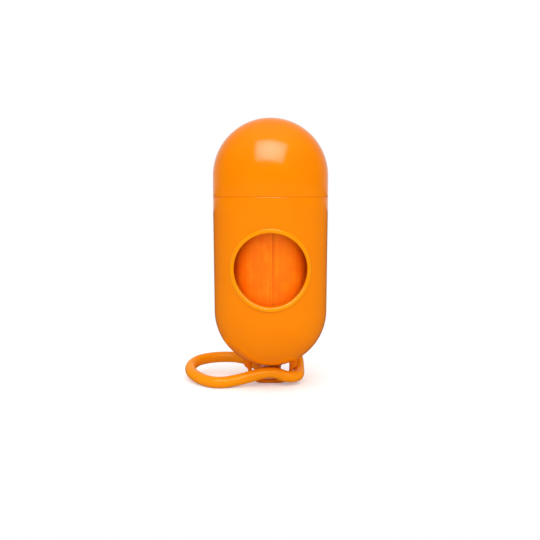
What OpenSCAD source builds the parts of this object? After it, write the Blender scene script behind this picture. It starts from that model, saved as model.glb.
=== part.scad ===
// Pocket dispenser for a roll of pet waste bags: a capsule in two shells, with a round window
// that the bags are pulled through, and a rubber strap threaded through a bail under its round end.
// Millimetres. +Z is up, the capsule's axis is Z, and the window faces -Y.
// The origin is the middle of the bail's flat foot, on the surface that the dispenser stands on.

/* [Capsule] */
// Room between the roll and the shells' bore, all round
roll_room = 2.7; // [2.4:0.1:4]
// Wall thickness of both shells
wall_t = 2; // [1.8:0.1:2.4]
// Height of the body's straight part, from its round end up to the seam
body_straight_h = 39.6; // [36:0.2:60]
// Taper of the body's straight part on each side, in degrees
body_draft = 0.45; // [0:0.05:0.8]
// Height of the cap's straight part, from the seam up to its round end
cap_straight_h = 7.2; // [7:0.2:20]
// Height of the groove where the cap meets the body
seam_groove_h = 0.35; // [0.2:0.05:0.6]

/* [Cap fit] */
// Height of the body's neck, which the cap goes over
neck_h = 6; // [4:0.5:6.5]
// Thickness of the body's neck
neck_t = 1; // [0.8:0.05:1.1]
// Clearance on the radius between neck and cap
neck_clearance = 0.05; // [0.03:0.01:0.1]
// Room above the neck inside the cap
neck_headroom = 0.3; // [0.2:0.1:1]

/* [Window] */
// Height of the window's centre above the middle of the body's round end
window_rise = 15.8; // [13:0.1:20]
// Clear diameter of the window, inside its rim
window_d = 24.4; // [18:0.2:26]
// Width of the rim's bead, from the clear opening outwards
rim_bead_w = 1.5; // [1.1:0.1:2.5]
// How far the bead stands proud of the shell
rim_bead_h = 0.6; // [0.3:0.1:1]
// Thickness of the rim where it passes through the wall
rim_sleeve_t = 0.75; // [0.5:0.05:1]
// Thickness of the lip that holds the rim on the inside
rim_lip_t = 0.6; // [0.4:0.1:0.9]
// Gap between the rim and the wall
rim_fit = 0.04; // [0.02:0.01:0.1]

/* [Bail] */
// Height of the round end's pole above the surface
bail_h = 6.6; // [6.4:0.1:10]
// Clear width of the bail's opening
bail_opening_w = 13.4; // [13:0.1:14]
// Thickness of the bail's legs
bail_leg_t = 1.3; // [1.2:0.1:1.6]
// Thickness of the bail's foot
bail_foot_t = 1.5; // [1.2:0.1:1.8]
// Depth of the bail from front to back
bail_depth = 2.4; // [2:0.1:3]
// Radius of the bail's lower outer corners
bail_corner_r = 5; // [3:0.1:6]
// Extra width of each leg at its root, where it meets the round end
bail_root_w = 1.4; // [0.6:0.1:1.4]
// Height over which each leg widens to its root
bail_root_h = 1.8; // [1:0.1:2]
// Chamfer along the front and back of the bail's foot
bail_chamfer = 0.6; // [0.2:0.1:0.8]

/* [Strap] */
// Diameter of the strap's rubber
strap_d = 4; // [3.6:0.1:4]
// Distance between the two strands where they are moulded together
waist_spacing = 3.7; // [3:0.1:3.7]
// How far the waist lies to the right of the capsule's axis
waist_shift = 0; // [-0.5:0.1:0.5]
// Diameter of the web that joins the two strands in front of the bail
web_d = 3.8; // [3.4:0.1:3.9]
// Gap between the strap and the bail's right leg, which the small eye goes round
leg_gap = 0.15; // [0.1:0.05:0.5]
// Gap between the strap and the round end above it, where the strap passes through the bail
strap_headroom = 0.2; // [0.15:0.05:0.6]

/* [Roll] */
// Outer diameter of the wound bags, under the outermost one
roll_d = 30.6; // [26:0.2:31.4]
// Length of the roll
roll_l = 57; // [50:0.5:60]
// Thickness of the outermost bag at its free edge
lead_t = 0.45; // [0.3:0.05:0.6]
// Thickness of the outermost bag where it runs under its own free edge
lead_tail_t = 0.15; // [0.1:0.05:0.25]
// Gap between the outermost bag and the rest of the roll
lead_gap = 0.03; // [0.02:0.01:0.1]
// Angle of the free edge round the axis, from the middle of the window
lead_angle = 2.6; // [-30:0.2:30]
// Outer diameter of the cardboard core
core_d = 16; // [12:0.5:20]
// Wall thickness of the cardboard core
core_t = 1; // [0.6:0.1:2]
// Gap between the core and the bags
core_gap = 0.03; // [0.02:0.01:0.1]
// Gap between the roll's lower rim and the round end that it stands on
roll_seat_gap = 0.15; // [0.1:0.05:0.3]

/* [Hidden] */
$fn = 96;

shell_color = [0.95, 0.47, 0.05];
soft_color = [0.99, 0.56, 0.08];
film_color = [0.96, 0.36, 0.06];
card_color = [0.72, 0.60, 0.44];

// The capsule is as wide as the roll, the room round it and both walls.
capsule_d = roll_d + 2 * (roll_room + wall_t);
capsule_r = capsule_d / 2;
// The round end's sphere touches the tapered wall, so its radius follows from the taper.
dome_r = (capsule_r - body_straight_h * tan(body_draft)) * cos(body_draft);
dome_z = bail_h + dome_r;
seam_z = dome_z + body_straight_h;
cap_dome_z = seam_z + cap_straight_h;
bore_r = capsule_r - wall_t;
neck_r = bore_r + neck_t;
// Each side of the groove is cut back by half of its height.
groove_cut = seam_groove_h / 2;
window_z = dome_z + window_rise;
window_r = window_d / 2;
rim_hole_r = window_r + rim_sleeve_t + rim_fit;
rim_outer_r = window_r + rim_bead_w;

bail_half_w = bail_opening_w / 2 + bail_leg_t;
bail_inner_r = bail_corner_r - bail_leg_t;

strap_r = strap_d / 2;
strap_sides = 12;
// A flat side of the twelve-sided tube lies on the surface.
strap_rest_z = strap_r * cos(180 / strap_sides);
// The strap passes through the bail close under the round end.
strap_pass_z = bail_h - strap_r - strap_headroom;
left_x = waist_shift - waist_spacing / 2;
right_x = waist_shift + waist_spacing / 2;
leg_pass_x = bail_half_w + strap_r + leg_gap;

lead_inner_r = roll_d / 2 + lead_gap;
lead_outer_r = lead_inner_r + lead_t;
lead_points = 120;
// The roll stands where its rim meets the inside of the round end.
roll_z = dome_z - sqrt(pow(dome_r - wall_t, 2) - pow(lead_outer_r, 2)) + roll_seat_gap;
cut_l = capsule_d;
overlap = 1;

// Routes of the strap's centreline, seen from above each goes once round its eye. The first three
// points and the last one lie in the bail and hold the two strands together there.
large_eye = [
    [left_x, bail_depth / 2, strap_pass_z],
    [left_x, -bail_depth / 2, strap_pass_z],
    [left_x + 0.1, -3.4, strap_pass_z + 0.3],
    [left_x - 1.6, -5.4, strap_pass_z + 0.1],
    [-6.6, -5.8, 3.7],
    [-10.8, -6, 2.6],
    [-15.7, -7.4, strap_rest_z],
    [-19.8, -7.4, strap_rest_z],
    [-24.4, -3.8, 2.2],
    [-28.4, 2.6, 2.9],
    [-29.4, 9.2, 3.9],
    [-26.8, 14.4, 5],
    [-20.8, 16.6, 5.6],
    [-14, 16.6, 5.7],
    [-9.4, 13.6, 5.6],
    [-6.6, 8.8, 5.4],
    [-3.6, 4.8, strap_pass_z + 0.3]
];
small_eye = [
    [right_x, bail_depth / 2, strap_pass_z],
    [right_x, -bail_depth / 2, strap_pass_z],
    [right_x, -3.2, strap_pass_z],
    [right_x + 1.5, -4.6, 3.9],
    [6.6, -4.6, 3.2],
    [leg_pass_x - 0.6, -2.6, 3.1],
    [leg_pass_x, 1.4, 3.8],
    [leg_pass_x - 0.1, 5, 5.7],
    [9.8, 8.2, 7.8],
    [7.2, 11.2, 8.4],
    [4, 10.8, 7],
    [2.2, 8, 5.4],
    [right_x - 0.1, 4.8, 4.6]
];
// Route of the web that joins the two strands in front of the bail, from inside one to inside the other
waist_web = [
    [-7, -5.85, 3.6],
    [-3.4, -5.9, 4.6],
    [0, -5.3, 4.9],
    [3.4, -5, 4.3],
    [7, -4.4, 3.15]
];
ring_steps = 3;

function unit(v) = v / norm(v);

// One point of a smooth closed curve through the control points, t of the way from b to c
function curve_point(a, b, c, d, t) =
    0.5 * (2 * b + (c - a) * t + (2 * a - 5 * b + 4 * c - d) * t * t + (3 * b - a - 3 * c + d) * t * t * t);

// The same point, lifted to the height at which the strap lies on the surface if it falls below that
function on_surface(p) = [p[0], p[1], max(p[2], strap_rest_z)];

// Closed curve through all the control points, with ring_steps points for each of them
function closed_curve(points) =
    let (n = len(points))
    [for (i = [0 : n - 1], s = [0 : ring_steps - 1])
        let (a = points[(i + n - 1) % n], b = points[i], c = points[(i + 1) % n], d = points[(i + 2) % n])
        on_surface(curve_point(a, b, c, d, s / ring_steps))];

// Open curve through the control points, from the first one to the last
function open_curve(points) =
    let (n = len(points))
    [for (i = [0 : n - 2], s = [0 : ring_steps - 1])
        let (a = points[max(i - 1, 0)], b = points[i], c = points[i + 1], d = points[min(i + 2, n - 1)])
        curve_point(a, b, c, d, s / ring_steps), points[n - 1]];

// The corners of one ring of a tube, at centre c with direction d
function tube_ring(c, d, r) =
    let (side = unit(cross(d, [0, 0, 1])), up = cross(side, d))
    [for (j = [0 : strap_sides - 1])
        let (a = 360 * (j + 0.5) / strap_sides) c + r * (cos(a) * side + sin(a) * up)];

// One turn from the free edge round to it again, with a radius that goes steadily from one to the other
function turn_outline(start_r, end_r) =
    [for (i = [0 : lead_points])
        let (a = lead_angle - 90 + 360 * i / lead_points, r = start_r + (end_r - start_r) * i / lead_points)
        [r * cos(a), r * sin(a)]];

// Closed tube of the strap's thickness along a closed route
module closed_tube(route) {
    curve = closed_curve(route);
    n = len(curve);
    corners = [for (i = [0 : n - 1])
        each tube_ring(curve[i], unit(curve[(i + 1) % n] - curve[(i + n - 1) % n]), strap_r)];
    sides = strap_sides;
    faces = [for (i = [0 : n - 1], j = [0 : sides - 1])
        let (a = i * sides + j, b = i * sides + (j + 1) % sides)
        let (c = ((i + 1) % n) * sides + (j + 1) % sides, d = ((i + 1) % n) * sides + j)
        each [[a, b, c], [a, c, d]]];
    polyhedron(corners, faces, convexity = 4);
}

// Tube of radius r along an open route, closed at both ends
module open_tube(route, r) {
    curve = open_curve(route);
    n = len(curve);
    corners = [for (i = [0 : n - 1])
        each tube_ring(curve[i], unit(curve[min(i + 1, n - 1)] - curve[max(i - 1, 0)]), r)];
    sides = strap_sides;
    faces = [for (i = [0 : n - 2], j = [0 : sides - 1])
        let (a = i * sides + j, b = i * sides + (j + 1) % sides)
        let (c = (i + 1) * sides + (j + 1) % sides, d = (i + 1) * sides + j)
        each [[a, b, c], [a, c, d]]];
    first_end = [for (j = [1 : sides]) sides - j];
    last_end = [for (j = [0 : sides - 1]) (n - 1) * sides + j];
    polyhedron(corners, [each faces, first_end, last_end], convexity = 4);
}

// Outside form of the body, grown by g all over: a tapered tube on a round end, cut at height top
module body_form(g, top) {
    rotate_extrude()
    intersection() {
        union() {
            translate([0, dome_z])
            circle(dome_r + g);
            polygon([
                [0, dome_z],
                [(dome_r + g) / cos(body_draft), dome_z],
                [(dome_r + g) / cos(body_draft) + (top - dome_z) * tan(body_draft), top],
                [0, top]
            ]);
        }
        translate([0, dome_z - dome_r - g])
        square([capsule_d, top - dome_z + dome_r + g]);
    }
}

// Cylinder along the window's axis, from the capsule's axis out through the front
module window_bore(r) {
    translate([0, 0, window_z])
    rotate([90, 0, 0])
    cylinder(r = r, h = cut_l);
}

// Flat shape of an upright U with rounded lower corners
module u_shape(half_w, corner_r, h) {
    translate([-half_w, corner_r])
    square([2 * half_w, h - corner_r]);
    translate([corner_r - half_w, 0])
    square([2 * (half_w - corner_r), h]);
    for (side = [-1, 1])
        translate([side * (half_w - corner_r), corner_r])
        circle(corner_r);
}

// The bail before it is trimmed to the round end: legs and foot round an open middle
module bail() {
    rise = bail_h + wall_t + overlap;
    half_depth = bail_depth / 2;
    root_half_w = bail_half_w + bail_root_w;
    intersection() {
        translate([0, half_depth, 0])
        rotate([90, 0, 0])
        linear_extrude(bail_depth)
        difference() {
            union() {
                u_shape(bail_half_w, bail_corner_r, rise);
                polygon([
                    [-bail_half_w, bail_h - bail_root_h],
                    [bail_half_w, bail_h - bail_root_h],
                    [root_half_w, bail_h],
                    [root_half_w, rise],
                    [-root_half_w, rise],
                    [-root_half_w, bail_h]
                ]);
            }
            translate([0, bail_foot_t])
            u_shape(bail_opening_w / 2, bail_inner_r, rise);
        }
        translate([-root_half_w, 0, 0])
        rotate([90, 0, 90])
        linear_extrude(2 * root_half_w)
        polygon([
            [bail_chamfer - half_depth, 0],
            [half_depth - bail_chamfer, 0],
            [half_depth, bail_chamfer],
            [half_depth, rise],
            [-half_depth, rise],
            [-half_depth, bail_chamfer]
        ]);
    }
}

// Neck that the cap goes over
module neck() {
    difference() {
        translate([0, 0, seam_z - overlap])
        cylinder(r = neck_r, h = neck_h + overlap);
        translate([0, 0, seam_z - 2 * overlap])
        cylinder(r = bore_r, h = neck_h + 3 * overlap);
    }
}

// Ring that cuts one side of the seam's groove, from its sharp edge inwards
module groove_cutter() {
    rotate_extrude()
    polygon([
        [capsule_r - groove_cut, seam_z],
        [capsule_r + overlap, seam_z - groove_cut - overlap],
        [capsule_r + overlap, seam_z + groove_cut + overlap]
    ]);
}

module body_shell() {
    color(shell_color)
    difference() {
        union() {
            body_form(0, seam_z);
            bail();
            neck();
        }
        body_form(-wall_t, seam_z + overlap);
        translate([0, 0, seam_z - overlap])
        cylinder(r = bore_r, h = neck_h + 2 * overlap);
        window_bore(rim_hole_r);
        groove_cutter();
    }
}

module cap_shell() {
    color(shell_color)
    difference() {
        rotate_extrude()
        intersection() {
            difference() {
                union() {
                    translate([0, cap_dome_z])
                    circle(capsule_r);
                    translate([0, seam_z])
                    square([capsule_r, cap_straight_h]);
                }
                translate([0, cap_dome_z])
                circle(bore_r);
                translate([0, seam_z - overlap])
                square([bore_r, cap_straight_h + overlap]);
                translate([0, seam_z - overlap])
                square([neck_r + neck_clearance, neck_h + neck_headroom + overlap]);
            }
            translate([0, seam_z])
            square([capsule_d, cap_straight_h + capsule_r]);
        }
        groove_cutter();
    }
}

// Part of the window's rim: a round tube between two radii, cut to the body's own curve
module rim_band(outer_r, low, high) {
    difference() {
        intersection() {
            body_form(high, seam_z - overlap);
            window_bore(outer_r);
        }
        window_bore(window_r);
        body_form(low, seam_z);
    }
}

module window_rim() {
    inner_face = -wall_t - rim_fit;
    color(soft_color)
    union() {
        rim_band(rim_hole_r - rim_fit, inner_face - rim_lip_t, rim_bead_h);
        rim_band(rim_outer_r, rim_fit, rim_bead_h);
        rim_band(rim_outer_r, inner_face - rim_lip_t, inner_face);
    }
}

module loop_strap() {
    color(soft_color)
    union() {
        closed_tube(large_eye);
        closed_tube(small_eye);
        open_tube(waist_web, web_d / 2);
    }
}

module roll_core() {
    color(card_color)
    translate([0, 0, roll_z])
    difference() {
        cylinder(d = core_d, h = roll_l);
        translate([0, 0, -overlap])
        cylinder(d = core_d - 2 * core_t, h = roll_l + 2 * overlap);
    }
}

module bag_roll() {
    color(film_color)
    translate([0, 0, roll_z])
    difference() {
        cylinder(d = roll_d, h = roll_l);
        translate([0, 0, -overlap])
        cylinder(d = core_d + 2 * core_gap, h = roll_l + 2 * overlap);
    }
}

module lead_bag() {
    color(film_color)
    translate([0, 0, roll_z])
    linear_extrude(roll_l)
    difference() {
        polygon(turn_outline(lead_inner_r + lead_tail_t, lead_outer_r));
        polygon(turn_outline(lead_inner_r, lead_inner_r));
    }
}

body_shell();
cap_shell();
window_rim();
loop_strap();
roll_core();
bag_roll();
lead_bag();
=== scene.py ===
"""Dressed model of a pocket dispenser for pet waste bags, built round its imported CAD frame.

The capsule stands on its strap with the window towards the camera. Sizes in the classes are
millimetres, as in the part's source, and become metres when a mesh is made. +Z is up, the
capsule's axis is Z, and the window faces -Y.
"""

import logging
import math
from dataclasses import dataclass, field, replace
from enum import Enum

import bmesh
import bpy
import numpy as np
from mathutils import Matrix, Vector


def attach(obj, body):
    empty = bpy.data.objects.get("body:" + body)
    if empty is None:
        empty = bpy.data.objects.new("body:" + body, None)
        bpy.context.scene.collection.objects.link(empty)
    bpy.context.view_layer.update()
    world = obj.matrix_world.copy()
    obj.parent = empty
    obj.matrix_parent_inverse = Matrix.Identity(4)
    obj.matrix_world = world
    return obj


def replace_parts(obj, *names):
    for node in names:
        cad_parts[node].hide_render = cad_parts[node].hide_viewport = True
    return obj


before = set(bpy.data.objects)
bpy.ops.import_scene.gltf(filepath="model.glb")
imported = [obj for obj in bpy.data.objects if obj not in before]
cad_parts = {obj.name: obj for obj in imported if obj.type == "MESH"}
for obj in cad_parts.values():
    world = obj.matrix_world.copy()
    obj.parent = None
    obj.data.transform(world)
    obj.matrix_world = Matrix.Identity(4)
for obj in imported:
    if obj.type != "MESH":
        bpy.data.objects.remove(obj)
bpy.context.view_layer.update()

MM = 0.001
MERGE_DISTANCE = 1e-6
SHARP_ANGLE = math.radians(40)

Tree = bpy.types.NodeTree
Socket = bpy.types.NodeSocket
Material = bpy.types.Material
Object = bpy.types.Object

log = logging.getLogger("dispenser")


class Body(Enum):
    """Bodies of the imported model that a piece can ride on."""

    HOUSING = "housing"
    CAP = "cap"
    ROLL = "roll"


class Slot(Enum):
    """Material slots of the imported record."""

    SHELL = "shell_plastic"
    RUBBER = "soft_rubber"
    FILM = "bag_film"
    CARD = "core_card"


def linear(hex_code: str) -> tuple[float, float, float, float]:
    """Turns an sRGB colour into the linear one that a shader takes.

    Args:
        hex_code: Six hex digits, red first.

    Returns:
        Linear red, green and blue, and an alpha of 1.
    """
    srgb = np.array([int(hex_code[i : i + 2], 16) for i in (0, 2, 4)]) / 255
    value = np.where(srgb <= 0.04045, srgb / 12.92, ((srgb + 0.055) / 1.055) ** 2.4)
    return (*map(float, value), 1.0)


def add_node(tree: Tree, kind: str, inputs: dict | None = None, **settings) -> bpy.types.Node:
    """Adds one node with its properties, and fills or links its inputs.

    Args:
        tree: Node tree that gets the node.
        kind: Blender's name for the kind of node.
        inputs: A value or another node's output for each input, by name or place.
        **settings: Properties of the node itself.

    Returns:
        The new node.
    """
    node = tree.nodes.new(kind)
    for name, value in settings.items():
        setattr(node, name, value)
    for name, value in (inputs or {}).items():
        if isinstance(value, Socket):
            tree.links.new(value, node.inputs[name])
        else:
            node.inputs[name].default_value = value
    return node


def new_material(name: str) -> tuple[Material, Tree, Socket]:
    """Makes an empty material whose patterns are laid out in millimetres.

    Args:
        name: Name of the material, after the real finish.

    Returns:
        The material, its node tree, and a position output in millimetres.
    """
    material = bpy.data.materials.new(name)
    material.use_nodes = True
    tree = material.node_tree
    tree.nodes.clear()
    coordinates = add_node(tree, "ShaderNodeTexCoord")
    in_mm = add_node(
        tree,
        "ShaderNodeMapping",
        {"Vector": coordinates.outputs["Object"], "Scale": (1 / MM, 1 / MM, 1 / MM)},
    )
    return material, tree, in_mm.outputs["Vector"]


def calculate(tree: Tree, operation: str, *values: Socket | float) -> Socket:
    """Adds a sum, product or other operation on one or more values.

    Args:
        tree: Node tree that gets the node.
        operation: Blender's name for the operation.
        *values: Outputs or numbers that it takes.

    Returns:
        The result's output.
    """
    inputs = dict(enumerate(values))
    return add_node(tree, "ShaderNodeMath", inputs, operation=operation).outputs["Value"]


def noise(tree: Tree, position: Socket, size: float, detail: float = 2.0) -> Socket:
    """Adds a noise pattern whose patches are about size millimetres across.

    Args:
        tree: Node tree that gets the pattern.
        position: Position output in millimetres.
        size: Width of a patch.
        detail: Number of finer octaves on top.

    Returns:
        The noise's value output, 0 to 1 and mostly near one half.
    """
    inputs = {"Vector": position, "Scale": 1 / size, "Detail": detail}
    return add_node(tree, "ShaderNodeTexNoise", inputs).outputs["Fac"]


def map_range(
    tree: Tree, value: Socket, low: float, high: float, out_low: float, out_high: float
) -> Socket:
    """Stretches a value from one range to another, and holds it at the ends.

    Args:
        tree: Node tree that gets the node.
        value: Output to stretch.
        low: Value that becomes out_low.
        high: Value that becomes out_high.
        out_low: Result at low.
        out_high: Result at high.

    Returns:
        The stretched value's output.
    """
    ends = {"From Min": low, "From Max": high, "To Min": out_low, "To Max": out_high}
    return add_node(tree, "ShaderNodeMapRange", {"Value": value, **ends}).outputs["Result"]


def two_colours(tree: Tree, factor: Socket, first: str | Socket, second: str) -> Socket:
    """Mixes two colours by a factor.

    Args:
        tree: Node tree that gets the mix.
        factor: 0 for the first colour and 1 for the second.
        first: sRGB hex code, or another colour's output.
        second: sRGB hex code.

    Returns:
        The mixed colour's output.
    """
    start = first if isinstance(first, Socket) else linear(first)
    inputs = {"Factor": factor, 6: start, 7: linear(second)}
    return add_node(tree, "ShaderNodeMix", inputs, data_type="RGBA").outputs[2]


def finish_surface(
    tree: Tree, colour: Socket, roughness: Socket | float, ior: float, relief: Socket, depth: float
) -> None:
    """Ends a material with a shader whose surface has a fine relief.

    Args:
        tree: Node tree of the material.
        colour: Colour's output.
        roughness: Roughness, or its output.
        ior: Index of refraction.
        relief: Pattern of the relief.
        depth: Height of the relief in millimetres.
    """
    height = {"Height": relief, "Distance": depth * MM, "Strength": 1.0}
    normal = add_node(tree, "ShaderNodeBump", height).outputs["Normal"]
    inputs = {"Base Color": colour, "Roughness": roughness, "IOR": ior, "Normal": normal}
    shader = add_node(tree, "ShaderNodeBsdfPrincipled", inputs)
    add_node(tree, "ShaderNodeOutputMaterial", {"Surface": shader.outputs["BSDF"]})


@dataclass(frozen=True)
class MouldedFinish:
    """Plastic or rubber straight from a mould: one colour with faint flow clouds and a fine skin.

    Attributes:
        name: Name of the material, after the real finish.
        colour: sRGB hex code of most of the surface.
        clouds: sRGB hex code of the faint flow clouds.
        cloud_size: Width of a flow cloud.
        ior: Index of refraction.
        roughness: Smallest and largest roughness.
        skin_size: Width of one grain of the mould's skin.
        skin_depth: Height of that grain.
    """

    name: str
    colour: str
    clouds: str
    cloud_size: float
    ior: float
    roughness: tuple[float, float]
    skin_size: float
    skin_depth: float

    def material(self) -> Material:
        """Builds the material."""
        material, tree, position = new_material(self.name)
        cloud = map_range(tree, noise(tree, position, self.cloud_size), 0.35, 0.7, 0.0, 1.0)
        wear = noise(tree, position, self.cloud_size / 3, 4.0)
        rough = map_range(tree, wear, 0.3, 0.7, *self.roughness)
        colour = two_colours(tree, cloud, self.colour, self.clouds)
        skin = noise(tree, position, self.skin_size, 3.0)
        finish_surface(tree, colour, rough, self.ior, skin, self.skin_depth)
        return material


@dataclass(frozen=True)
class FilmFinish:
    """Blown polythene film of a bag: matt, a little hazy, with fine lines along its length, and
    painted shade at the free edge.

    Attributes:
        name: Name of the material, after the real finish.
        colour: sRGB hex code of most of the film.
        haze: sRGB hex code where the film is drawn thin or rubbed.
        line_spacing: Distance between two draw lines.
        line_depth: Height of a draw line.
        ior: Index of refraction.
        roughness: Smallest and largest roughness.
        shade: sRGB hex code of the painted shade along the free edge.
        edge_place: Distance of the free edge to the right of the roll's axis.
        edge_width: Width of the line of painted shade.
        edge_shade: How much of the painted shade's colour shows in the line.
        edge_fade: Heights between which the line of painted shade grows from faint to full.
    """

    name: str
    colour: str
    haze: str
    line_spacing: float
    line_depth: float
    ior: float
    roughness: tuple[float, float]
    shade: str
    edge_place: float
    edge_width: float
    edge_shade: float
    edge_fade: tuple[float, float]

    def material(self) -> Material:
        """Builds the material."""
        material, tree, position = new_material(self.name)
        # Draw lines run along the roll's axis, so the pattern is stretched fiftyfold along Z.
        drawn = {"Vector": position, "Scale": (1.0, 1.0, 0.02)}
        place = add_node(tree, "ShaderNodeMapping", drawn).outputs["Vector"]
        lines = noise(tree, place, self.line_spacing, 4.0)
        patches = noise(tree, position, 4.0, 3.0)
        haze = map_range(tree, calculate(tree, "MULTIPLY", lines, patches), 0.2, 0.4, 0.0, 1.0)
        # A fine line of painted shade marks the free edge, on the window's side of the roll,
        # fainter low on the roll.
        axes = add_node(tree, "ShaderNodeSeparateXYZ", {"Vector": position}).outputs
        away = calculate(tree, "ABSOLUTE", calculate(tree, "SUBTRACT", axes["X"], self.edge_place))
        shade = map_range(tree, away, self.edge_width / 2, self.edge_width, self.edge_shade, 0.0)
        low = map_range(tree, axes["Z"], *self.edge_fade, 0.2, 1.0)
        front = calculate(tree, "LESS_THAN", axes["Y"], 0.0)
        line = calculate(tree, "MULTIPLY", calculate(tree, "MULTIPLY", shade, low), front)
        film = two_colours(tree, haze, self.colour, self.haze)
        shown = two_colours(tree, line, film, self.shade)
        rough = map_range(tree, patches, 0.3, 0.7, *self.roughness)
        finish_surface(tree, shown, rough, self.ior, lines, self.line_depth)
        return material


@dataclass(frozen=True)
class CardFinish:
    """Plain grey-brown card with fibres that run round the tube.

    Attributes:
        name: Name of the material, after the real finish.
        colour: sRGB hex code of the card.
        fibre: sRGB hex code of its darker fibres.
        fibre_size: Width of a fibre.
        fibre_depth: Height of a fibre.
        ior: Index of refraction.
        roughness: Roughness.
    """

    name: str
    colour: str
    fibre: str
    fibre_size: float = 1.2
    fibre_depth: float = 0.08
    ior: float = 1.5
    roughness: float = 0.85

    def material(self) -> Material:
        """Builds the material."""
        material, tree, position = new_material(self.name)
        stretched = {"Vector": position, "Scale": (1.0, 1.0, 4.0)}
        place = add_node(tree, "ShaderNodeMapping", stretched).outputs["Vector"]
        grain = noise(tree, place, self.fibre_size, 6.0)
        dark = map_range(tree, grain, 0.3, 0.7, 0.0, 1.0)
        colour = two_colours(tree, dark, self.colour, self.fibre)
        finish_surface(tree, colour, self.roughness, self.ior, grain, self.fibre_depth)
        return material


# Gloss-moulded polypropylene: an even, saturated orange with soft, slightly blurred reflections.
SHELL_FINISH = MouldedFinish(
    name="polypropylene_moulded_orange",
    colour="FF8B00",
    clouds="FB8700",
    cloud_size=14.0,
    ior=1.49,
    roughness=(0.09, 0.12),
    skin_size=2.5,
    skin_depth=0.002,
)
# Moulded soft rubber: a lighter, yellower orange with a duller sheen.
RUBBER_FINISH = MouldedFinish(
    name="soft_rubber_moulded_amber",
    colour="FF9C00",
    clouds="FF9600",
    cloud_size=9.0,
    ior=1.3,
    roughness=(0.2, 0.26),
    skin_size=0.6,
    skin_depth=0.004,
)
# The same rubber where the mould was polished: the window's rim, which shines along its bead.
RIM_FINISH = replace(
    RUBBER_FINISH, name="soft_rubber_polished_amber", ior=1.5, roughness=(0.1, 0.14)
)
# Blown polythene film, wound tight: a redder orange, matt, with fine lines along the roll.
FILM_FINISH = FilmFinish(
    name="polythene_film_orange",
    colour="FF7600",
    haze="FF8A04",
    line_spacing=0.5,
    line_depth=0.012,
    ior=1.25,
    roughness=(0.5, 0.62),
    # Painted shade along the free edge of the outermost bag, fading out lower down.
    shade="A82400",
    edge_place=0.8,
    edge_width=0.22,
    edge_shade=0.3,
    edge_fade=(34.0, 46.0),
)
# Unprinted wound card: dull grey-brown fibres.
CARD_FINISH = CardFinish(name="wound_card_brown", colour="B9A07C", fibre="8F7452")


def as_piece(
    name: str, grids: list[np.ndarray], body: Body, material: Material
) -> Object:
    """Makes one piece from grids of points, joined where their edges meet.

    Args:
        name: Name of the piece.
        grids: Arrays of points in millimetres, rows by columns by three.
        body: Body that the piece rides on.
        material: Finish of the piece.

    Returns:
        The piece, at the origin, with its place in its mesh.
    """
    points, faces, first = [], [], 0
    for grid in grids:
        rows, columns = grid.shape[:2]
        index = np.arange(rows * columns).reshape(rows, columns) + first
        corners = (index[:-1, :-1], index[:-1, 1:], index[1:, 1:], index[1:, :-1])
        faces.append(np.stack(corners, axis=-1).reshape(-1, 4))
        points.append(grid.reshape(-1, 3))
        first += rows * columns
    mesh = bpy.data.meshes.new(name)
    mesh.from_pydata((np.concatenate(points) * MM).tolist(), [], np.concatenate(faces).tolist())
    work = bmesh.new()
    work.from_mesh(mesh)
    bmesh.ops.remove_doubles(work, verts=work.verts, dist=MERGE_DISTANCE)
    bmesh.ops.dissolve_degenerate(work, edges=work.edges, dist=MERGE_DISTANCE / 10)
    bmesh.ops.recalc_face_normals(work, faces=work.faces)
    work.to_mesh(mesh)
    work.free()
    mesh.shade_smooth()
    mesh.set_sharp_from_angle(angle=SHARP_ANGLE)
    mesh.materials.append(material)
    piece = bpy.data.objects.new(name, mesh)
    bpy.context.scene.collection.objects.link(piece)
    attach(piece, body.value)
    return piece


def arc(
    centre: tuple[float, float], radius: float, start: float, end: float, steps: int
) -> np.ndarray:
    """Points along part of a circle.

    Args:
        centre: Its centre.
        radius: Its radius.
        start: Angle of the first point, in degrees.
        end: Angle of the last point.
        steps: Number of points.

    Returns:
        The points, steps by two.
    """
    angle = np.radians(np.linspace(start, end, steps))
    return np.array(centre) + radius * np.stack([np.cos(angle), np.sin(angle)], axis=-1)


def rounded_path(
    corners: list[tuple[float, float, float]], closed: bool = False, steps: int = 6
) -> np.ndarray:
    """Path through corners, each rounded by a curve that starts its radius before the corner.

    The curve is the quadratic one whose middle control point is the corner itself.

    Args:
        corners: Both coordinates of each corner, and its radius, 0 for a sharp one.
        closed: Whether the path goes on from its last corner to its first.
        steps: Points of each rounded corner.

    Returns:
        The path's points, without a repeat of the first one.
    """
    places = np.array(corners)[:, :2]
    t = np.linspace(0, 1, steps)[:, None]
    path = []
    for i, (x, y, radius) in enumerate(corners):
        here = np.array([x, y])
        at_end = not closed and i in (0, len(corners) - 1)
        if radius == 0 or at_end:
            path.append(here[None])
            continue
        before = places[i - 1] - here
        after = places[(i + 1) % len(places)] - here
        start = here + before / np.linalg.norm(before) * radius
        end = here + after / np.linalg.norm(after) * radius
        path.append((1 - t) ** 2 * start + 2 * t * (1 - t) * here + t**2 * end)
    return np.concatenate(path)


def turned(profile: np.ndarray, angles: np.ndarray) -> np.ndarray:
    """Surface of revolution: each profile point goes round Z at its radius.

    Args:
        profile: Radius and height of each point.
        angles: Angles from the window's direction, in radians.

    Returns:
        Grid of points, profile by angles.
    """
    radius, height = profile[:, 0, None], profile[:, 1, None]
    x = radius * np.sin(angles)
    return np.stack([x, -radius * np.cos(angles), np.broadcast_to(height, x.shape)], axis=-1)


def along(start: float, end: float, steps: int) -> np.ndarray:
    """Evenly spaced numbers without the last one, for one stretch of a longer path."""
    return np.linspace(start, end, steps, endpoint=False)


def full_turn(steps: int) -> np.ndarray:
    """Angles of a whole turn that starts and ends behind the window's direction."""
    return np.linspace(-math.pi, math.pi, steps + 1)


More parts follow.
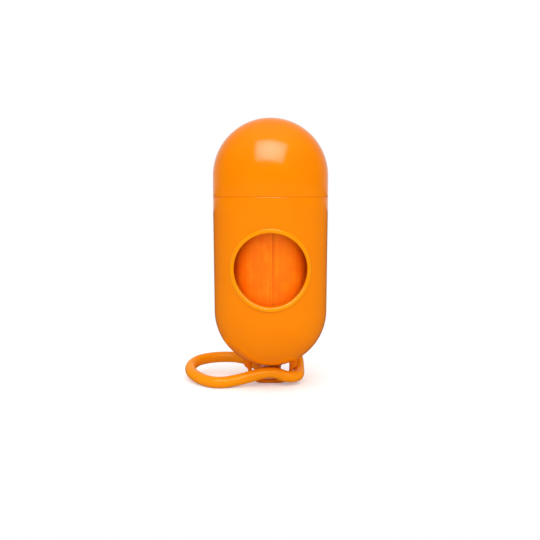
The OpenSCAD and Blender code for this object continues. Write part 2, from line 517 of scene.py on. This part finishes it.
@dataclass
class CapsuleShells:
    """The two push-fit shells, and the bail under the round end of the lower one."""

    radius: float = 20.0
    wall: float = 2.0
    bail_height: float = 6.6
    straight_height: float = 39.6
    draft: float = 0.45
    cap_straight_height: float = 7.2
    seam_round: float = 0.3
    neck_height: float = 6.0
    neck_wall: float = 1.0
    neck_clearance: float = 0.05
    neck_headroom: float = 0.3
    window_rise: float = 15.8
    window_hole_radius: float = 12.99
    opening_width: float = 13.4
    leg_thickness: float = 1.3
    foot_thickness: float = 1.5
    bail_depth: float = 2.4
    corner_radius: float = 5.0
    inner_corner_radius: float = 3.7
    root_width: float = 1.4
    root_height: float = 1.8
    edge_round: float = 0.3
    corner_round: float = 0.15
    window_block: float = 16.0
    columns: int = 192
    block_columns: int = 52
    spoke_rows: int = 9
    material: Material = field(default_factory=SHELL_FINISH.material)

    def __post_init__(self) -> None:
        """Works out the heights and radii that follow from the sizes."""
        slant = math.radians(self.draft)
        self.slope = math.tan(slant)
        self.dome_radius = (self.radius - self.straight_height * self.slope) * math.cos(slant)
        self.dome_height = self.bail_height + self.dome_radius
        self.seam_height = self.dome_height + self.straight_height
        self.cap_dome_height = self.seam_height + self.cap_straight_height
        self.window_height = self.dome_height + self.window_rise
        self.bore = self.radius - self.wall

    def wall_radius(self, height: np.ndarray, offset: float = 0.0) -> np.ndarray:
        """Radius of the body's tapered wall: it grows evenly with the height above the round end.

        Args:
            height: Heights above the surface.
            offset: Distance outwards from the outer face.

        Returns:
            The radius at each height.
        """
        start = (self.dome_radius + offset) / math.cos(math.radians(self.draft))
        return start + (height - self.dome_height) * self.slope

    def on_wall(self, x: np.ndarray, height: np.ndarray, offset: float) -> np.ndarray:
        """Points of the wall's front half, from their place as seen through the window.

        Args:
            x: Distance to the right of the axis.
            height: Height above the surface.
            offset: Distance outwards from the outer face.

        Returns:
            The points, with y from the circle through x at that height.
        """
        y = -np.sqrt(self.wall_radius(height, offset) ** 2 - x**2)
        return np.stack([x, y, height], axis=-1)

    def wall_with_hole(
        self, offset: float, lower: np.ndarray, upper: np.ndarray
    ) -> tuple[list[np.ndarray], np.ndarray]:
        """One face of the body's wall round the window's hole.

        Most of it is turned round the axis. In front, a block of the turned grid is left out, and
        spokes run straight from the block's border to the round hole, evenly divided.

        Args:
            offset: Distance outwards from the outer face.
            lower: Profile below the block, from the pole up.
            upper: Profile above the block, as far as the face goes.

        Returns:
            The face's grids, and the points round the hole.
        """
        angles = full_turn(self.columns)
        middle, half = self.columns // 2, self.block_columns // 2
        reach = self.wall_radius(self.window_height) * math.sin(angles[middle + half])
        heights = np.linspace(-reach, reach, self.block_columns + 1) + self.window_height
        block = np.stack([self.wall_radius(heights, offset), heights], axis=-1)
        left, right = angles[: middle - half + 1], angles[middle + half :]
        front = angles[middle - half : middle + half + 1]
        whole = np.concatenate([lower, block, upper])
        grids = [turned(whole, left), turned(whole, right)]
        grids.append(turned(np.concatenate([lower, block[:1]]), front))
        grids.append(turned(np.concatenate([block[-1:], upper]), front))
        square = turned(block, front)
        sides = [square[0, :-1], square[:-1, -1], square[-1, :0:-1], square[::-1, 0]]
        border = np.concatenate(sides)
        bearing = np.arctan2(border[:, 2] - self.window_height, border[:, 0])
        hole_x = self.window_hole_radius * np.cos(bearing)
        hole_z = self.window_height + self.window_hole_radius * np.sin(bearing)
        t = np.linspace(0, 1, self.spoke_rows)[:, None]
        x = (1 - t) * hole_x + t * border[:, 0]
        z = (1 - t) * hole_z + t * border[:, 2]
        spokes = self.on_wall(x, z, offset)
        grids.append(spokes)
        return grids, spokes[0]

    def body(self) -> Object:
        """Lower shell: outer face, seam edge, neck, bore and the hole for the rim."""
        outer_pole = arc((0, self.dome_height), self.dome_radius, -90, -self.draft, 40)
        edge_low = self.seam_height - self.seam_round
        above = np.linspace(self.window_height + self.window_block, edge_low, 9)
        outer_above = np.stack([self.wall_radius(above), above], axis=-1)
        neck_radius = self.bore + self.neck_wall
        neck_top = self.seam_height + self.neck_height
        edge = rounded_path(
            [
                (self.radius, edge_low, 0),
                # A little under the full radius, so that the curve starts above the last point.
                (self.radius, self.seam_height, self.seam_round * 0.98),
                (neck_radius, self.seam_height, self.corner_round),
                (neck_radius, neck_top, self.edge_round),
                (self.bore, neck_top, self.edge_round),
                (self.bore, self.seam_height - 1, 0),
            ]
        )
        outer_above = np.concatenate([outer_above, edge])
        outer, outer_hole = self.wall_with_hole(0.0, outer_pole, outer_above)
        inner_pole = arc((0, self.dome_height), self.dome_radius - self.wall, -90, -self.draft, 30)
        inner_above = np.stack([self.wall_radius(above, -self.wall), above], axis=-1)
        inner_above = np.concatenate([inner_above[:-1], edge[-1:]])
        inner, inner_hole = self.wall_with_hole(-self.wall, inner_pole, inner_above)
        bore = np.stack([outer_hole, inner_hole])
        grids = [*outer, *inner, bore]
        piece = as_piece("body_moulding", grids, Body.HOUSING, self.material)
        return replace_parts(piece, "body_shell")

    def bail(self) -> Object:
        """Bail: a flattened oval section carried down one leg, along the foot and up the other.

        At each point of the path the section reaches from the opening's outline to the outer
        outline, with a higher power of sine and cosine in place of the circle's. Towards the
        round end each leg widens outwards by a smooth step, and the section swells by a small
        exponential flare, as a moulded root does.
        """
        top = self.bail_height + 2.6
        half_opening = self.opening_width / 2
        turn_x = half_opening - self.inner_corner_radius
        outer_x = half_opening + self.leg_thickness
        inner_turn = (turn_x, self.foot_thickness + self.inner_corner_radius)
        outer_turn = (turn_x, self.corner_radius)

        foot_steps, corner_steps, leg_steps = 14, 12, 40

        def outline(x: float, turn: tuple[float, float], radius: float, low: float) -> np.ndarray:
            """One outline of the U: half of the foot, a corner and a leg, then its mirror image."""
            foot = np.stack([along(0, turn[0], foot_steps), np.full(foot_steps, low)], axis=-1)
            corner = arc(turn, radius, -90, 0, corner_steps)[:-1]
            heights = np.linspace(turn[1], top, leg_steps)
            leg = np.stack([np.full(leg_steps, x), heights], axis=-1)
            half = np.concatenate([foot, corner, leg])
            return np.concatenate([half[:0:-1] * [-1, 1], half])

        inner = outline(half_opening, inner_turn, self.inner_corner_radius, self.foot_thickness)
        outer = outline(outer_x, outer_turn, self.corner_radius, 0.0)
        root_start = self.bail_height - self.root_height
        widening = np.clip((outer[:, 1] - root_start) / self.root_height, 0, 1)
        outer[:, 0] += np.sign(outer[:, 0]) * self.root_width * widening**2 * (3 - 2 * widening)
        centre, half = (inner + outer) / 2, (outer - inner) / 2
        round_end = self.dome_height - np.sqrt(self.dome_radius**2 - centre[:, 0] ** 2)
        flare_width, flare_reach, squareness = 0.35, 0.45, 0.45
        below = np.maximum(round_end - centre[:, 1], 0)
        flare = flare_width * np.exp(-below / flare_reach)
        half = half * (1 + flare / np.linalg.norm(half, axis=-1))[:, None]
        depth = self.bail_depth / 2 + flare
        angle = np.linspace(0, 2 * math.pi, 41)
        across = np.sign(np.cos(angle)) * np.abs(np.cos(angle)) ** squareness
        deep = np.sign(np.sin(angle)) * np.abs(np.sin(angle)) ** squareness
        flat = centre[:, None] + across[None, :, None] * half[:, None]
        y = deep[None] * depth[:, None]
        rings = np.stack([flat[..., 0], y, flat[..., 1]], axis=-1)
        middles = np.stack([centre[:, 0], np.zeros(len(centre)), centre[:, 1]], axis=-1)
        ends = [np.broadcast_to(middles[i], rings[:1].shape) for i in (0, -1)]
        grid = np.concatenate([ends[0], rings, ends[1]])
        return as_piece("bail_moulding", [grid], Body.HOUSING, self.material)

    def cap(self) -> Object:
        """Upper shell: a dome on a short straight wall, with the socket that goes over the neck."""
        socket_radius = self.bore + self.neck_wall + self.neck_clearance
        socket_top = self.seam_height + self.neck_height + self.neck_headroom
        outer = arc((0, self.cap_dome_height), self.radius, 90, 0, 48)
        walls = rounded_path(
            [
                (self.radius, self.cap_dome_height - 0.5, 0),
                (self.radius, self.seam_height, self.seam_round),
                (socket_radius, self.seam_height, self.corner_round),
                (socket_radius, socket_top, 0.2),
                (self.bore, socket_top, 0.2),
                (self.bore, self.cap_dome_height - 0.2, 0),
            ]
        )
        inner = arc((0, self.cap_dome_height), self.bore, 0, 90, 40)
        profile = np.concatenate([outer, walls, inner])
        grid = turned(profile, full_turn(self.columns))
        piece = as_piece("cap_moulding", [grid], Body.CAP, self.material)
        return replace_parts(piece, "cap_shell")


@dataclass
class WindowRim:
    """Soft rim that lines the window: a bead outside, a sleeve through the wall, a lip inside."""

    shells: CapsuleShells
    clear_radius: float = 12.2
    bead_width: float = 1.5
    bead_height: float = 0.6
    sleeve: float = 0.75
    lip: float = 0.6
    material: Material = field(default_factory=RIM_FINISH.material)

    def build(self) -> Object:
        """Carries the rim's section round the window.

        A point of the section has a distance from the window's axis and a height above the
        body's outer face, so the rim follows the curved wall all the way round.
        """
        inner, outer = self.clear_radius, self.clear_radius + self.bead_width
        sleeve = inner + self.sleeve
        back = -self.shells.wall - 0.04
        section = rounded_path(
            [
                (inner, self.bead_height, 0.62),
                (outer, self.bead_height, 0.56),
                (outer, 0.02, 0.05),
                (sleeve, 0.02, 0),
                (sleeve, back, 0),
                (outer, back, 0.1),
                (outer, back - self.lip, 0.25),
                (inner, back - self.lip, 0.25),
            ],
            closed=True,
            steps=9,
        )
        section = np.concatenate([section, section[:1]])
        bearing = np.linspace(0, 2 * math.pi, 193)
        x = section[:, 0, None] * np.cos(bearing)
        z = self.shells.window_height + section[:, 0, None] * np.sin(bearing)
        grid = self.shells.on_wall(x, z, section[:, 1, None])
        piece = as_piece("window_grommet", [grid], Body.HOUSING, self.material)
        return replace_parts(piece, "window_rim")


@dataclass
class HangingStrap:
    """One moulded rubber figure-eight, whose two strands pass side by side through the bail."""

    radius: float = 2.0
    rest_height: float = 1.93185
    left: float = -1.85
    right: float = 1.85
    pass_height: float = 4.4
    leg_pass: float = 10.15
    web_radius: float = 1.9
    web_thinning: float = 0.4
    waist_height: float = 4.55
    waist_reach: tuple[float, float] = (-5.0, 3.5)
    ring_steps: int = 9
    sides: int = 40
    grid: float = 0.17
    smoothing: int = 14
    material: Material = field(default_factory=RUBBER_FINISH.material)

    def large_eye(self) -> np.ndarray:
        """Route of the eye that lies to the left of the capsule, once round from the bail."""
        points = [
            (self.left, 1.2, self.pass_height),
            (self.left, -1.2, self.pass_height),
            (self.left + 0.1, -3.4, self.pass_height + 0.3),
            (self.left - 1.6, -5.4, self.pass_height + 0.1),
            (-6.6, -5.8, 3.7),
            (-10.8, -6.0, 2.6),
            (-15.7, -7.4, self.rest_height),
            (-19.8, -7.4, self.rest_height),
            (-24.4, -3.8, 2.2),
            (-28.4, 2.6, 2.9),
            (-29.4, 9.2, 3.9),
            (-26.8, 14.4, 5.0),
            (-20.8, 16.6, 5.6),
            (-14.0, 16.6, 5.7),
            (-9.4, 13.6, 5.6),
            (-6.6, 8.8, 5.4),
            (-3.6, 4.8, self.pass_height + 0.3),
        ]
        return np.array(points)

    def small_eye(self) -> np.ndarray:
        """Route of the eye that goes round the bail's right leg."""
        points = [
            (self.right, 1.2, self.pass_height),
            (self.right, -1.2, self.pass_height),
            (self.right, -3.2, self.pass_height),
            (self.right + 1.5, -4.6, 3.9),
            (6.6, -4.6, 3.2),
            (self.leg_pass - 0.6, -2.6, 3.1),
            (self.leg_pass, 1.4, 3.8),
            (self.leg_pass - 0.1, 5.0, 5.7),
            (9.8, 8.2, 7.8),
            (7.2, 11.2, 8.4),
            (4.0, 10.8, 7.0),
            (2.2, 8.0, 5.4),
            (self.right - 0.1, 4.8, 4.6),
        ]
        return np.array(points)

    def web(self) -> np.ndarray:
        """Route of the web in front of the bail, from inside one strand to inside the other."""
        points = [
            (-7.0, -5.85, 3.6),
            (-3.4, -5.9, 4.6),
            (0.0, -5.3, 4.9),
            (3.4, -5.0, 4.3),
            (7.0, -4.4, 3.15),
        ]
        return np.array(points)

    def closed_curve(self, route: np.ndarray) -> np.ndarray:
        """Closed cubic curve through the route's points, no lower than the strap can lie.

        Between two points it is the cubic whose slope at each point is half of the step from the
        point before to the point after. A short moving average then evens out its bends.

        Args:
            route: Points of one eye.

        Returns:
            The curve's points, without a repeat of the first one.
        """
        a, b, c, d = (np.roll(route, shift, axis=0)[:, None] for shift in (1, 0, -1, -2))
        t = along(0, 1, self.ring_steps)[None, :, None]
        squared, cubed = 2 * a - 5 * b + 4 * c - d, 3 * b - a - 3 * c + d
        curve = 0.5 * (2 * b + (c - a) * t + squared * t**2 + cubed * t**3)
        curve = curve.reshape(-1, 3)
        for _ in range(self.ring_steps * 2):
            curve = curve / 2 + (np.roll(curve, 1, axis=0) + np.roll(curve, -1, axis=0)) / 4
        curve[:, 2] = np.maximum(curve[:, 2], self.rest_height)
        return curve

    def tube(self, curve: np.ndarray, radius: np.ndarray, closed: bool) -> np.ndarray:
        """Round tube along a curve: a circle across it at each point, pressed flat on the surface.

        Args:
            curve: Centreline.
            radius: Radius at each point of it.
            closed: Whether the tube runs on from its last point to its first. An open one is
                drawn together to a point at both ends.

        Returns:
            Grid of points, along the curve by round the tube.
        """
        if closed:
            step = np.roll(curve, -1, axis=0) - np.roll(curve, 1, axis=0)
        else:
            step = np.gradient(curve, axis=0)
        step /= np.linalg.norm(step, axis=-1, keepdims=True)
        side = np.cross(step, [0, 0, 1])
        side /= np.linalg.norm(side, axis=-1, keepdims=True)
        up = np.cross(side, step)
        angle = np.linspace(0, 2 * math.pi, self.sides + 1)[None, :, None]
        circle = np.cos(angle) * side[:, None] + np.sin(angle) * up[:, None]
        points = curve[:, None] + radius[:, None, None] * circle
        points[..., 2] = np.maximum(points[..., 2], 0)
        if closed:
            return np.concatenate([points, points[:1]])
        ends = [np.broadcast_to(curve[i], points[:1].shape) for i in (0, -1)]
        return np.concatenate([ends[0], points, ends[1]])

    def build(self) -> Object:
        """Makes both eyes, the web and the waist as one skin, with fillets where they meet.

        The tubes are joined into one skin on a fine grid, and the skin is then evened out, which
        rounds the creases between them.
        """
        grids = []
        for route in (self.large_eye(), self.small_eye()):
            curve = self.closed_curve(route)
            grids.append(self.tube(curve, np.full(len(curve), self.radius), closed=True))
        # The web's centreline is the quartic through its five points, and its ends are thinner.
        t, web_points = np.linspace(-1, 1, 41), self.web()
        places, order = np.linspace(-1, 1, len(web_points)), len(web_points) - 1
        parts = [np.polyval(np.polyfit(places, web_points[:, i], order), t) for i in range(3)]
        thinning = self.web_thinning * np.abs(t) ** 3
        grids.append(self.tube(np.stack(parts, axis=-1), self.web_radius - thinning, closed=False))
        # Between the strands the waist is filled from the web to behind the bail.
        waist = np.array([(0.0, y, self.waist_height) for y in np.linspace(*self.waist_reach, 25)])
        grids.append(self.tube(waist, np.full(len(waist), self.web_radius), closed=False))
        piece = as_piece("figure_eight_strap", grids, Body.HOUSING, self.material)
        skin = piece.modifiers.new("one_skin", "REMESH")
        skin.mode = "VOXEL"
        skin.voxel_size = self.grid * MM
        skin.use_smooth_shade = True
        even = piece.modifiers.new("fillets", "SMOOTH")
        even.factor = 0.5
        even.iterations = self.smoothing
        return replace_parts(piece, "loop_strap")


@dataclass
class BagRoll:
    """Roll of bags on its card core: the wound film, and the outermost bag with its free edge."""

    radius: float = 15.3
    core_radius: float = 8.03
    low: float = 18.45
    length: float = 57.0
    free_edge: float = 2.6
    sheet: float = 0.1
    edge_radius: float = 15.7
    tail_radius: float = 15.42
    turns: float = 1.05
    layer: float = 0.6
    layer_depth: float = 0.3
    layer_sink: float = 0.25
    layer_rows: int = 74
    sheet_columns: int = 760
    sheet_rows: int = 62
    sheet_seat: float = 0.15
    edge_lift: float = 0.12
    crease_height: float = 0.3
    crease_spacing: tuple[float, float] = (3.6, 5.1)
    crease_slant: tuple[float, float] = (0.55, -0.9)
    patch_middle: tuple[float, float] = (2.0, 30.0)
    patch_reach: tuple[float, float] = (2.6, 4.6)
    film: Material = field(default_factory=FILM_FINISH.material)
    card: Material = field(default_factory=CARD_FINISH.material)

    def wound(self) -> Object:
        """Wound film: a tube whose ends show its layers.

        On each end the height drops by the layer's depth times a cosine of the radius, and the
        cosine's phase follows the angle, so the ridges form one spiral.
        """
        angles = full_turn(192)
        radii = np.linspace(self.core_radius, self.radius, self.layer_rows)
        wave = np.cos(2 * math.pi * (radii[:, None] / self.layer - angles / (2 * math.pi)))
        uneven = 0.12 * np.cos(3 * angles + radii[:, None]) + 0.1 * np.cos(radii[:, None] * 2.3)
        drop = self.layer_depth * (0.5 - 0.5 * wave) + self.layer_sink + uneven
        ends = []
        for level, sign in ((self.low, 1), (self.low + self.length, -1)):
            x = radii[:, None] * np.sin(angles)
            y = -radii[:, None] * np.cos(angles)
            ends.append(np.stack([x, y, level + sign * drop], axis=-1))
        t = np.linspace(0, 1, 12)[:, None, None]
        outer = (1 - t) * ends[0][-1] + t * ends[1][-1]
        inner = (1 - t) * ends[0][0] + t * ends[1][0]
        piece = as_piece("wound_bags", [*ends, outer, inner], Body.ROLL, self.film)
        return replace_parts(piece, "bag_roll")

    def outermost(self) -> Object:
        """Outermost bag: a thin sheet that runs once round the roll and a little under itself.

        Its radius falls evenly from the free edge inwards. Near the edge it has slanting creases,
        which are the positive part of crossing waves that fade away from the edge and from the
        crumpled patch at the top of the window. Further on, a sum of fine waves round the roll
        gives the lines of film that was wound tight.
        """
        turn = np.linspace(0, self.turns, self.sheet_columns)[:, None]
        height = np.linspace(0, 1, self.sheet_rows)[None]
        distance = turn * 2 * math.pi * self.radius
        z = height * self.length
        base = self.edge_radius + (self.tail_radius - self.edge_radius) * np.minimum(turn, 1)
        lift = self.edge_lift * np.exp(-distance / 1.5)

        def wave(place: np.ndarray, spacing: float, phase: np.ndarray | float = 0.0) -> np.ndarray:
            """Cosine wave along a distance."""
            return np.cos(2 * math.pi * place / spacing + phase)

        (long, short), (rise, fall) = self.crease_spacing, self.crease_slant
        slant = wave(distance + rise * (z - 32), long) + 0.6 * wave(distance + fall * z, short, 1.0)
        beside = (distance - self.patch_middle[0]) / self.patch_reach[0]
        above = (z - self.patch_middle[1]) / self.patch_reach[1]
        patch = np.exp(-(beside**2) - above**2)
        creases = self.crease_height * np.maximum(slant, 0) ** 2 * patch
        fine = 0.008 * wave(distance, 1.1) + 0.006 * wave(distance, 0.73, 0.08 * z)
        slack = 0.03 * wave(distance, 9.0, 0.05 * z)
        radius = base + lift + creases + fine + slack
        ripple = 0.004 * np.cos(z / 4.0) * np.exp(-distance / 2)
        angle = np.radians(self.free_edge) - distance / self.radius + ripple
        wander = 0.1 * np.cos(turn * 2 * math.pi * 3) * (2 * height - 1)
        level = self.low + self.sheet_seat + z * (1 - 2 * self.sheet_seat / self.length) + wander

        def face(offset: float) -> np.ndarray:
            """One face of the sheet, offset outwards from its middle."""
            r = radius + offset
            return np.stack([r * np.sin(angle), -r * np.cos(angle), level], axis=-1)

        outer, inner = face(self.sheet / 2), face(-self.sheet / 2)
        edges = [np.stack([outer[i], inner[i]]) for i in (0, -1)]
        ends = [np.stack([outer[:, i], inner[:, i]]) for i in (0, -1)]
        grids = [outer, inner, *edges, *ends]
        piece = as_piece("outermost_bag", grids, Body.ROLL, self.film)
        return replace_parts(piece, "lead_bag")

    def core(self) -> Object:
        """Card core: the CAD's own tube, with a card finish."""
        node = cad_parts["roll_core"]
        node.data.materials.clear()
        node.data.materials.append(self.card)
        return node


@dataclass
class Studio:
    """White sweep, softbox and camera of the photograph."""

    camera_place: tuple[float, float, float] = (0.0, -260.0, 65.9)
    camera_pitch: float = 5.61
    focal_pixels: float = 742.6
    image_pixels: float = 540.0
    axis_pixel: float = 270.5
    sensor: float = 36.0
    aim: tuple[float, float, float] = (0.0, 0.0, 73.0)
    softbox_distance: float = 500.0
    softbox_bearing: tuple[float, float, float] = (0.03, -0.72, 0.69)
    softbox_size: float = 560.0
    softbox_level: float = 1.5
    panel_rise: float = math.radians(50.0)
    panel_roll: float = -7.0
    panel_half_width: float = 0.50
    panel_half_height: float = 0.41
    panel_edge: float = 0.07
    panel_level: float = 3.0
    panel_core: float = 6.5
    behind: float = 0.8
    overhead: float = 0.25
    fill_low: float = 0.5
    fill_high: float = 1.0
    floor_half_side: float = 3.0
    floor_white: str = "F0F0F0"
    floor_lift: float = 0.27
    floor_mirrored: float = 0.05
    floor_middle: tuple[float, float, float] = (-3.0, 12.0, 0.0)
    floor_fade: tuple[float, float] = (24.0, 64.0)

    def camera(self) -> None:
        """Camera level with the seam, tilted a little down."""
        data = bpy.data.cameras.new("camera")
        data.sensor_width = self.sensor
        data.lens = self.focal_pixels / self.image_pixels * self.sensor
        data.clip_start = 0.01
        data.clip_end = 50.0
        data.shift_x = (self.image_pixels / 2 - self.axis_pixel) / self.image_pixels
        camera = bpy.data.objects.new("camera", data)
        camera.location = Vector(self.camera_place) * MM
        camera.rotation_euler = (math.radians(90 - self.camera_pitch), 0.0, 0.0)
        bpy.context.scene.collection.objects.link(camera)
        bpy.context.scene.camera = camera

    def softbox(self) -> None:
        """One square panel of light that faces the dome.

        It isn't mirrored: in mirrored light the room's own panel takes its place.
        """
        side = self.softbox_size * MM
        data = bpy.data.lights.new("softbox", "AREA")
        data.shape = "SQUARE"
        data.size = side
        data.energy = self.softbox_level * math.pi * side**2
        light = bpy.data.objects.new("softbox", data)
        bearing = Vector(self.softbox_bearing).normalized()
        light.location = (Vector(self.aim) + bearing * self.softbox_distance) * MM
        light.rotation_euler = bearing.to_track_quat("Z", "Y").to_euler()
        light.visible_glossy = False
        bpy.context.scene.collection.objects.link(light)

    def surroundings(self) -> None:
        """White room: white to the camera, and brighter above for diffuse light.

        What the glossy pieces mirror is dark in front, grey overhead and white behind, with the
        softbox's soft-edged panel.

        In mirrored light the room is behind * y^3 + overhead * z^4, for the parts of the direction
        that point backwards and up. The panel is a product of two ramps, one for each side of it,
        in the coordinates of the plane that faces the dome, and grows brighter towards its middle.
        """
        world = bpy.data.worlds.new("white_room")
        bpy.context.scene.world = world
        world.use_nodes = True
        tree = world.node_tree
        tree.nodes.clear()
        ray = add_node(tree, "ShaderNodeLightPath").outputs
        place = add_node(tree, "ShaderNodeTexCoord").outputs["Generated"]
        axes = add_node(tree, "ShaderNodeSeparateXYZ", {"Vector": place}).outputs

        def dot(axis: Vector) -> Socket:
            """Adds the part of the direction that lies along an axis."""
            inputs = {0: place, 1: tuple(axis)}
            node = add_node(tree, "ShaderNodeVectorMath", inputs, operation="DOT_PRODUCT")
            return node.outputs["Value"]

        facing = Vector((0.0, -math.cos(self.panel_rise), math.sin(self.panel_rise)))
        level_side = Vector((1.0, 0.0, 0.0))
        level_up = level_side.cross(facing) * -1
        roll = math.radians(self.panel_roll)
        side = level_side * math.cos(roll) + level_up * math.sin(roll)
        up = level_up * math.cos(roll) - level_side * math.sin(roll)
        depth = calculate(tree, "MAXIMUM", dot(facing), 0.05)
        ramps, squares = [], []
        for axis, half in ((side, self.panel_half_width), (up, self.panel_half_height)):
            offset = calculate(tree, "DIVIDE", dot(axis), depth)
            low, high = half - self.panel_edge, half + self.panel_edge
            ramps.append(map_range(tree, calculate(tree, "ABSOLUTE", offset), low, high, 1.0, 0.0))
            share = calculate(tree, "ABSOLUTE", calculate(tree, "DIVIDE", offset, half))
            squares.append(calculate(tree, "POWER", share, 2.0))
        mask = calculate(tree, "MULTIPLY", *ramps)
        spread = calculate(tree, "ADD", *squares)
        front = calculate(tree, "GREATER_THAN", dot(facing), 0.1)
        core = map_range(tree, spread, 0.0, 1.0, self.panel_core, self.panel_level)
        panel = calculate(tree, "MULTIPLY", calculate(tree, "MULTIPLY", mask, core), front)
        backwards = calculate(tree, "POWER", calculate(tree, "MAXIMUM", axes["Y"], 0.0), 3.0)
        upwards = calculate(tree, "POWER", calculate(tree, "MAXIMUM", axes["Z"], 0.0), 4.0)
        behind = calculate(tree, "MULTIPLY", backwards, self.behind)
        overhead = calculate(tree, "MULTIPLY", upwards, self.overhead)
        mirrored = calculate(tree, "ADD", calculate(tree, "ADD", behind, overhead), panel)
        fill = map_range(tree, axes["Z"], 0.0, 1.0, self.fill_low, self.fill_high)
        glossy = {"Factor": ray["Is Glossy Ray"], 2: fill, 3: mirrored}
        seen = add_node(tree, "ShaderNodeMix", glossy).outputs[0]
        camera = {"Factor": ray["Is Camera Ray"], 2: seen, 3: 1.0}
        level = add_node(tree, "ShaderNodeMix", camera).outputs[0]
        white = add_node(tree, "ShaderNodeBackground", {"Color": (1, 1, 1, 1), "Strength": level})
        add_node(tree, "ShaderNodeOutputWorld", {"Surface": white.outputs["Background"]})

    def floor(self) -> None:
        """Plain white floor, lifted to white for the camera so that only shadows show on it."""
        side = self.floor_half_side
        corners = [(-side, -side, 0), (side, -side, 0), (side, side, 0), (-side, side, 0)]
        mesh = bpy.data.meshes.new("floor")
        mesh.from_pydata(corners, [], [(0, 1, 2, 3)])
        material, tree, position = new_material("white_paper_sweep")
        ray = add_node(tree, "ShaderNodeLightPath").outputs

        def glow(strength: float) -> Socket:
            """Adds a white light of its own."""
            node = add_node(tree, "ShaderNodeEmission", {"Strength": strength})
            return node.outputs["Emission"]

        def either(factor: Socket, first: Socket, second: Socket) -> Socket:
            """Adds a mix of two shaders."""
            inputs = {0: factor, 1: first, 2: second}
            return add_node(tree, "ShaderNodeMixShader", inputs).outputs["Shader"]

        white = {"Color": linear(self.floor_white)}
        paper = add_node(tree, "ShaderNodeBsdfDiffuse", white).outputs["BSDF"]
        lifted = {0: paper, 1: glow(self.floor_lift)}
        lit = add_node(tree, "ShaderNodeAddShader", lifted).outputs["Shader"]
        # Away from the object the sweep is burnt out to plain white.
        ends = {0: position, 1: self.floor_middle}
        from_middle = add_node(tree, "ShaderNodeVectorMath", ends, operation="DISTANCE")
        away = map_range(tree, from_middle.outputs["Value"], *self.floor_fade, 0.0, 1.0)
        seen = either(away, lit, glow(1.0))
        bounced = either(ray["Is Glossy Ray"], paper, glow(self.floor_mirrored))
        shown = either(ray["Is Camera Ray"], bounced, seen)
        add_node(tree, "ShaderNodeOutputMaterial", {"Surface": shown})
        mesh.materials.append(material)
        floor = bpy.data.objects.new("floor", mesh)
        bpy.context.scene.collection.objects.link(floor)

    def build(self) -> None:
        """Sets up the camera, the lights and the white room."""
        self.camera()
        self.softbox()
        self.surroundings()
        self.floor()
        bpy.context.scene.view_settings.view_transform = "Standard"


def main() -> None:
    logging.basicConfig(level=logging.INFO, format="%(message)s")
    Studio().build()
    shells = CapsuleShells()
    rim = WindowRim(shells)
    strap = HangingStrap()
    roll = BagRoll()
    capsule = [shells.body, shells.bail, shells.cap, rim.build, strap.build]
    for make in [*capsule, roll.wound, roll.outermost, roll.core]:
        piece = make()
        log.info("%s: %d faces", piece.name, len(piece.data.polygons))


if __name__ == "__main__":
    main()
